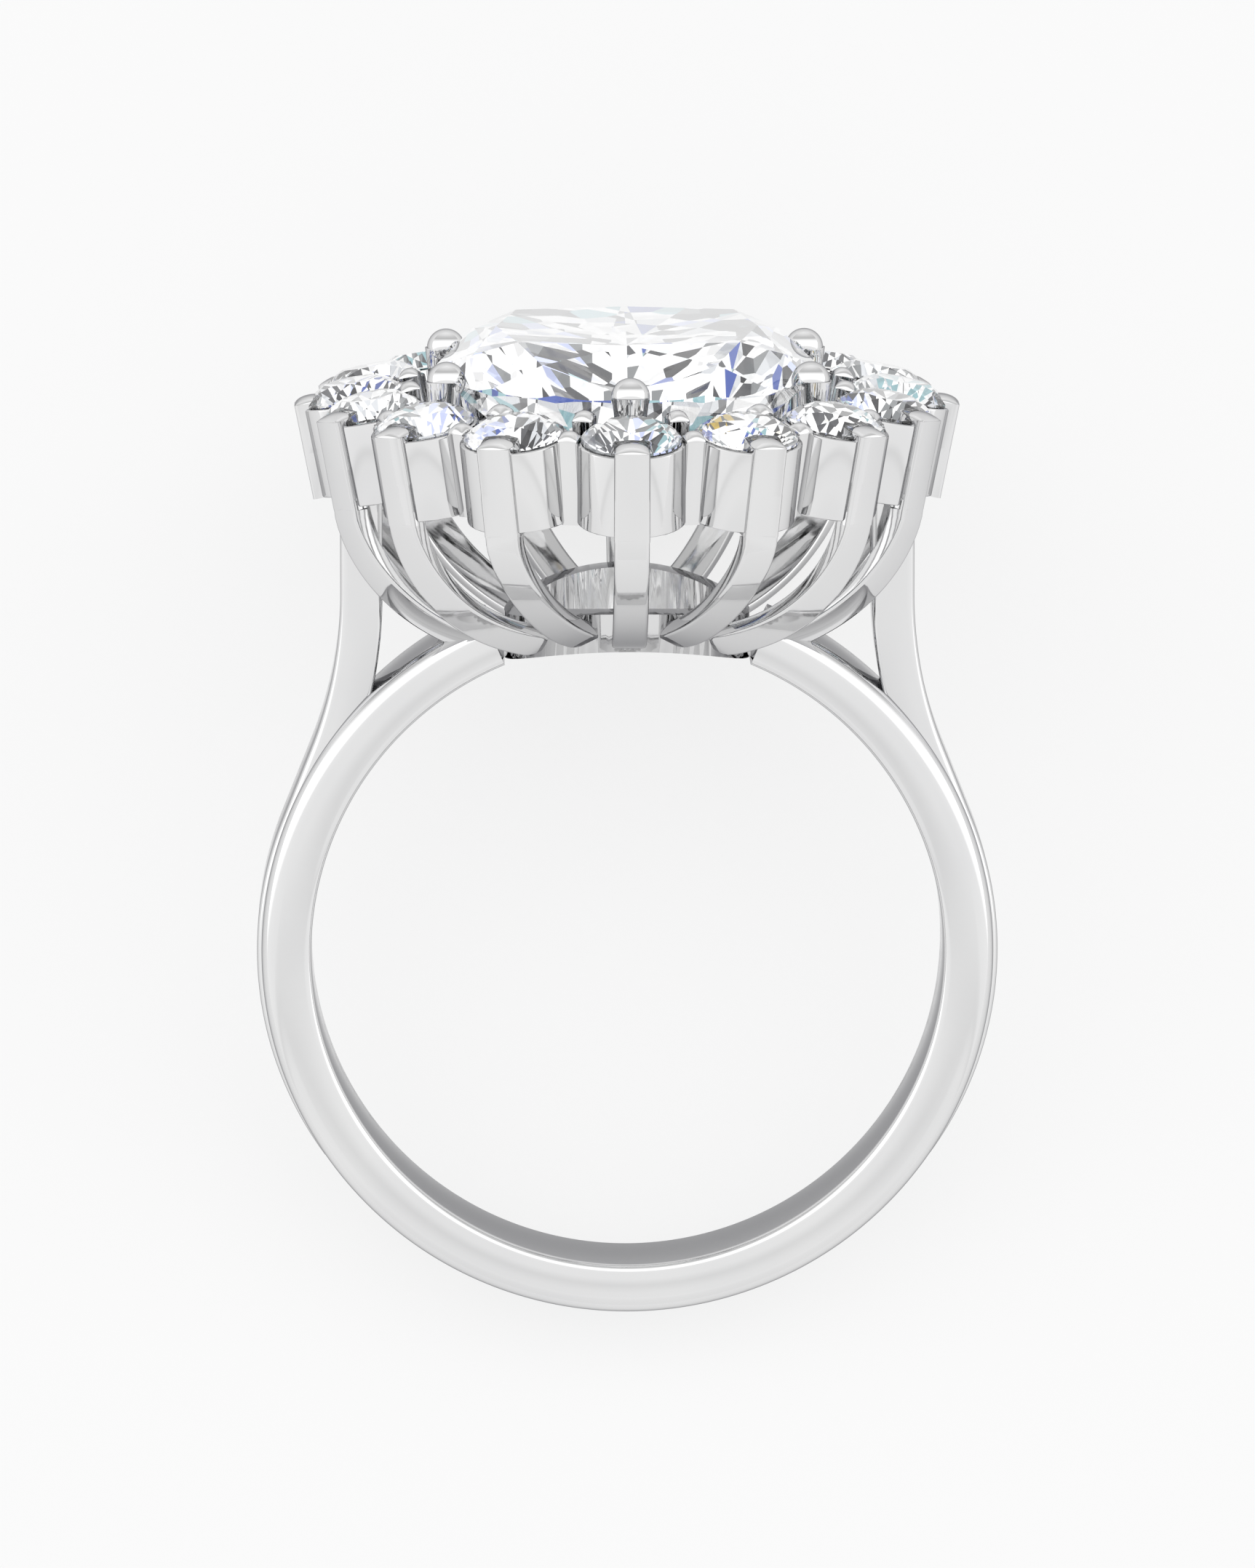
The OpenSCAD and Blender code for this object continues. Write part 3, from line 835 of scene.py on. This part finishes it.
long_prong = make_long_prong(SEAM_DEPTH + SEAM_OVERLAP)
side_prong = make_long_prong(SIDE_CUP_DEPTH)
short_prong = make_short_prong(CUP_DEPTH)
inner_prong = make_short_prong(CUP_DEPTH - INNER_PRONG_CUT)
long_prongs, short_prongs, inner_prongs = [], [], []
for k in range(HALO_COUNT):
    pattern = side_prong if k in SIDE_STONES else long_prong
    reach = PRONG_FRONT[quarter(k)[0]] - PRONG_T / 2
    long_prongs.append(copy_to(pattern, at_prong(k) @ Matrix.Translation((reach, 0, 0))))
    between = at_halo(k + 0.5)
    short_prongs.append(copy_to(short_prong, between @ Matrix.Translation((SHORT_REACH, 0, 0))))
    if k not in CLAW_GAPS:
        inner_place = between @ Matrix.Translation((-INNER_REACH, 0, INNER_PRONG_RISE))
        inner_prongs.append(copy_to(inner_prong, inner_place))
lay_down(join("long_prongs", long_prongs), "setting")
lay_down(join("short_prongs", short_prongs), "setting")
lay_down(join("inner_prongs", inner_prongs), "setting")
for spent in (plain_cup, side_cup, long_prong, side_prong, short_prong, inner_prong):
    bpy.data.objects.remove(spent)

lay_down(join("claws", [make_claw(foot) for foot in CLAW_FEET]), "setting")

centre_finish = diamond("centre_diamond", shard_size=1.1, tilt=0.5)
halo_finish = diamond("halo_diamond", shard_size=0.7, tilt=0.5)
for name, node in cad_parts.items():
    if "stone" in name:
        node.data.materials.clear()
        node.data.materials.append(centre_finish if name == "centre_stone" else halo_finish)

# Floor, light and camera.

bpy.ops.mesh.primitive_plane_add(size=4)
floor = bpy.context.object
floor.name = "floor"
floor.data.materials.append(pale_floor())

world = bpy.data.worlds.new("studio")
bpy.context.scene.world = world
world.use_nodes = True
sky, sky_links = world.node_tree.nodes, world.node_tree.links
direction = sky.new("ShaderNodeTexCoord")
parts = sky.new("ShaderNodeSeparateXYZ")
sky_links.new(direction.outputs["Generated"], parts.inputs["Vector"])


def ramp_of(nodes, stops):
    """A ramp of greys, from pairs of place and shade."""
    ramp = nodes.new("ShaderNodeValToRGB")
    points = ramp.color_ramp.elements
    for point, (spot, shade) in zip((points[0], points[1]), (stops[0], stops[-1])):
        point.position = spot
        point.color = (shade, shade, shade, 1)
    for spot, shade in stops[1:-1]:
        points.new(spot).color = (shade, shade, shade, 1)
    return ramp


# Soft light from all round: a wide bright panel overhead, dimmer beyond the head of the ring and
# dark low down beyond its foot.
level = sky.new("ShaderNodeMapRange")
level.inputs["From Min"].default_value = -1
level.inputs["From Max"].default_value = 1
sky_links.new(parts.outputs["Y"], level.inputs["Value"])
round_light = ramp_of(sky, [
    (0.0, 0.95), (0.09, 0.98), (0.14, 1.02), (0.2, 1.0), (0.232, 0.9), (0.26, 1.03),
    (0.4, 1.08), (0.46, 1.5), (0.66, 1.6), (0.74, 1.2), (0.82, 0.65), (0.9, 0.8), (1.0, 1.1),
])
sky_links.new(level.outputs["Result"], round_light.inputs["Fac"])
backdrop = sky["Background"]
sky_links.new(round_light.outputs["Color"], backdrop.inputs["Color"])
backdrop.inputs["Strength"].default_value = 1.0

bpy.context.scene.view_settings.view_transform = "Standard"

# The camera, seen from the finger hole: how far it is turned, how high it stands, its distance,
# and the point of the ring's middle plane that it aims at.
CAMERA_TURN = radians(-0.785)
CAMERA_RISE = radians(8.75)
CAMERA_DISTANCE = 400
CAMERA_AIM = (0.017, 4.183)
PIXELS_PER_MM = 52.508
PHOTO_WIDTH = 1725
SENSOR = 36

across = Vector((cos(CAMERA_TURN), sin(CAMERA_TURN), 0))
ahead = Vector((
    -sin(CAMERA_TURN) * cos(CAMERA_RISE), cos(CAMERA_TURN) * cos(CAMERA_RISE), -sin(CAMERA_RISE)
))
upward = across.cross(ahead)
eye = across * CAMERA_AIM[0] + upward * CAMERA_AIM[1] - ahead * CAMERA_DISTANCE
stand = Matrix((
    (across.x, upward.x, -ahead.x, eye.x),
    (across.y, upward.y, -ahead.y, eye.y),
    (across.z, upward.z, -ahead.z, eye.z),
    (0, 0, 0, 1),
))
bpy.ops.object.camera_add()
camera = bpy.context.object
laid = LAY @ stand
facing_photo = laid.to_3x3().normalized().to_quaternion()
camera.matrix_world = Matrix.LocRotScale(laid.to_translation(), facing_photo, None)
camera.data.sensor_fit = "HORIZONTAL"
camera.data.sensor_width = SENSOR
camera.data.lens = PIXELS_PER_MM * CAMERA_DISTANCE / PHOTO_WIDTH * SENSOR
camera.data.clip_start = 0.01
camera.data.clip_end = 20
bpy.context.scene.camera = camera
